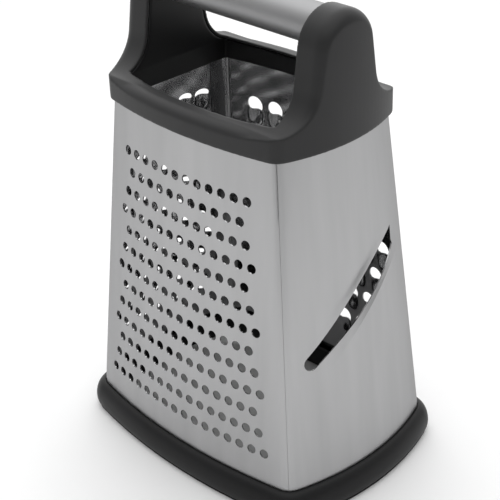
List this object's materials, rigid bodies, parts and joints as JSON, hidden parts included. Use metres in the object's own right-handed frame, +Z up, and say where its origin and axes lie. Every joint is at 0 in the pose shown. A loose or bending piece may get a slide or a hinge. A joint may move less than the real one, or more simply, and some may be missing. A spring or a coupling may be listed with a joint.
{
  "type": "box grater",
  "caption": "Tapered box grater with fine, medium and coarse grating sides, a slanted slicing blade, a soft base ring and a tube handle over an open top.",
  "frame": {"origin": "middle of the footprint of the base ring, on the surface the grater stands on", "axes": "+Z up, X along the handle tube, the fine side faces -Y, the slicing side +X, the coarse side +Y and the medium side -X"},
  "size_m": [0.1636, 0.1216, 0.2334],
  "materials": {
    "steel_sheet": "satin",
    "steel_tube": "satin",
    "soft_base": "matte",
    "rigid_black": "satin",
    "soft_grip": "matte"
  },
  "bodies": {
    "root": {"fine_grater_panel": "steel_sheet", "medium_grater_panel": "steel_sheet", "coarse_grater_panel": "steel_sheet", "slicer_panel": "steel_sheet", "base_ring": "soft_base", "inner_frame": "rigid_black", "top_cover": "soft_grip", "handle_tube": "steel_tube"}
  },
  "joints": []
}
